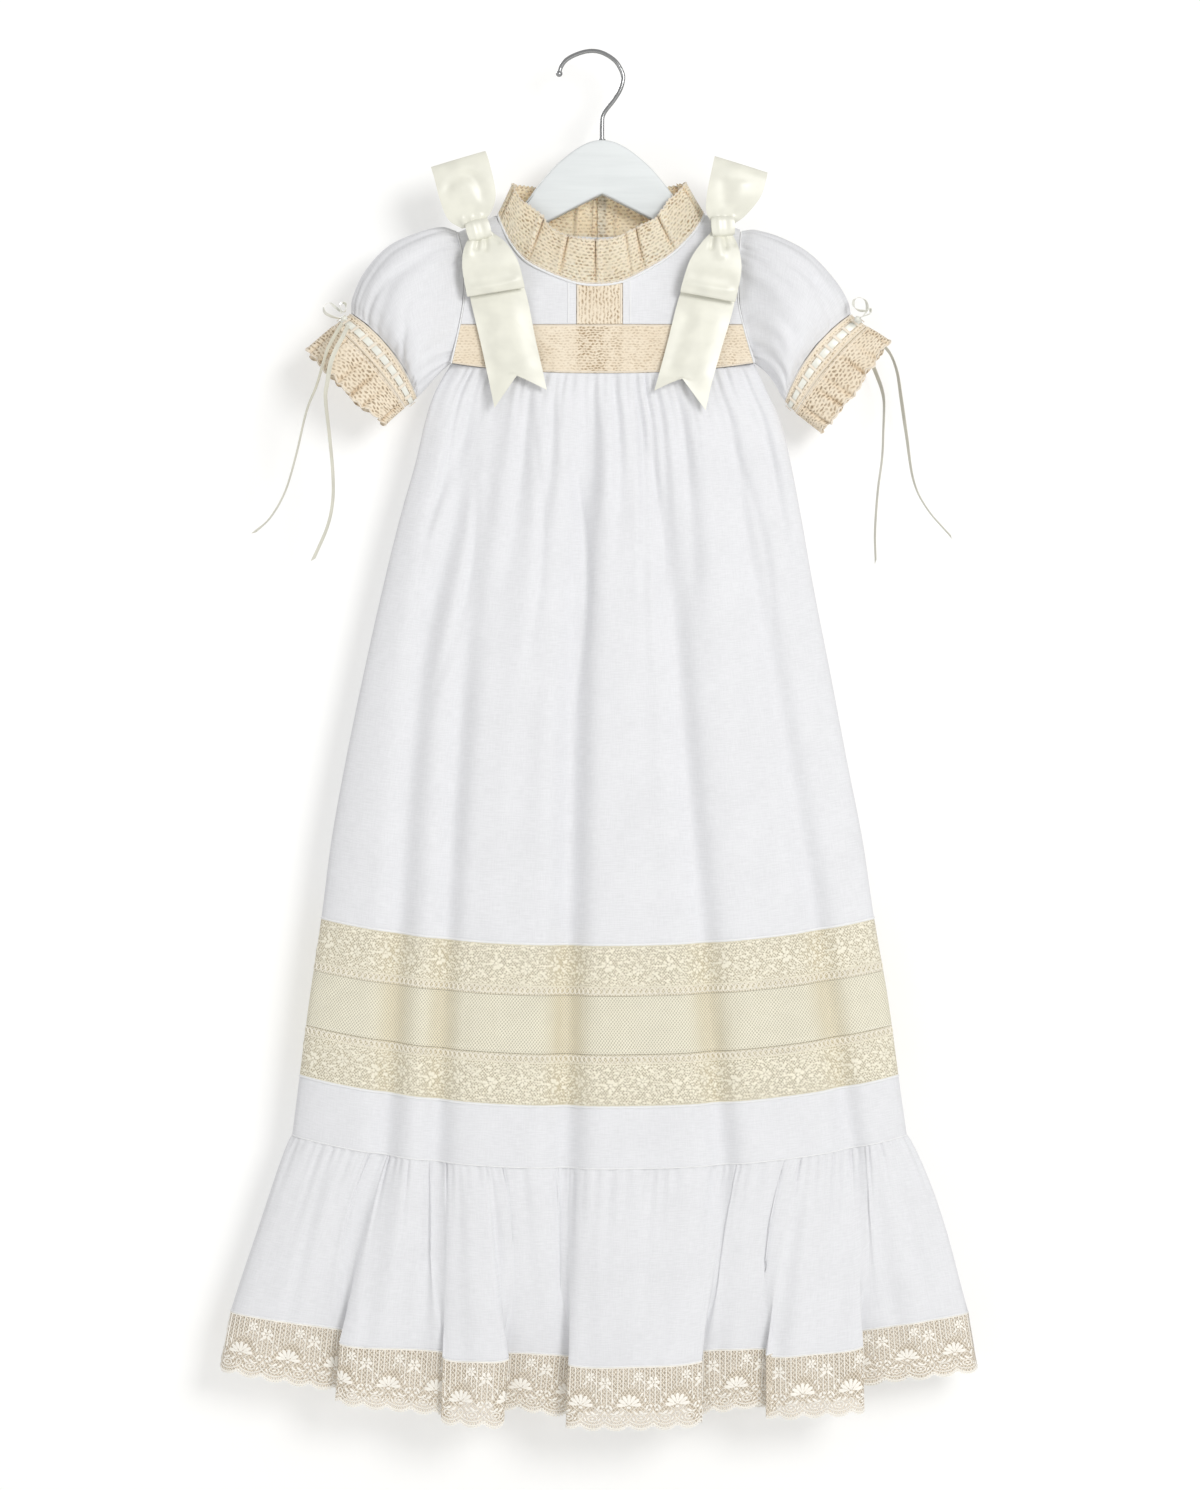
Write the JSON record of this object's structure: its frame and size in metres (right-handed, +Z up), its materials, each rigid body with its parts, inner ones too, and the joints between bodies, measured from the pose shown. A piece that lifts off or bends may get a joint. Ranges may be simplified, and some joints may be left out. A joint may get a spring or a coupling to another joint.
{
  "type": "christening gown on a hanger",
  "caption": "Long white cotton christening gown with puff sleeves, pleated lace collar, satin shoulder bows, lace insertions and a gathered flounce, hanging on a wooden hanger.",
  "frame": {"origin": "underside of the hook's crown, where it bears on the rod that holds the hanger", "axes": "+Z up; the gown's front looks along -Y; +X is to the right as seen from the front"},
  "size_m": [0.531, 0.0668, 0.9631],
  "materials": {
    "cotton": "matte white cotton batiste",
    "lace_cream": "matte cream cotton lace",
    "lace_ivory": "matte ivory cotton lace, open work",
    "net": "fine ivory net, see-through",
    "satin": "glossy ivory satin ribbon",
    "wood_white": "satin white paint on wood",
    "steel": "polished steel wire",
    "button": "pearly white shirt button"
  },
  "bodies": {
    "root": {"bow_left_knot": "satin", "bow_left_loop_down": "satin", "bow_left_loop_up": "satin", "bow_left_tail": "satin", "bow_right_knot": "satin", "bow_right_loop_down": "satin", "bow_right_loop_up": "satin", "bow_right_tail": "satin", "button_back_1": "button", "button_back_2": "button", "button_back_3": "button", "collar_frill": "lace_cream", "cuff_band_left": "lace_cream", "cuff_band_right": "lace_cream", "cuff_bow_left": "satin", "cuff_bow_right": "satin", "cuff_frill_left": "lace_cream", "cuff_frill_right": "lace_cream", "cuff_ribbon_left": "satin", "cuff_ribbon_right": "satin", "cuff_tail_left_a": "satin", "cuff_tail_left_b": "satin", "cuff_tail_right_a": "satin", "cuff_tail_right_b": "satin", "flounce_back": "cotton", "flounce_front": "cotton", "hanger_body": "wood_white", "hanger_hook": "steel", "hem_lace_back": "lace_ivory", "hem_lace_front": "lace_ivory", "lace_lower_back": "lace_ivory", "lace_lower_front": "lace_ivory", "lace_upper_back": "lace_ivory", "lace_upper_front": "lace_ivory", "neck_binding": "cotton", "plain_band_back": "cotton", "plain_band_front": "cotton", "skirt_back": "cotton", "skirt_front": "cotton", "sleeve_left": "cotton", "sleeve_right": "cotton", "tulle_back": "net", "tulle_front": "net", "yoke_back_left": "cotton", "yoke_back_right": "cotton", "yoke_front_left": "cotton", "yoke_front_right": "cotton", "yoke_lace_band": "lace_cream", "yoke_lace_center": "lace_cream"}
  },
  "joints": []
}
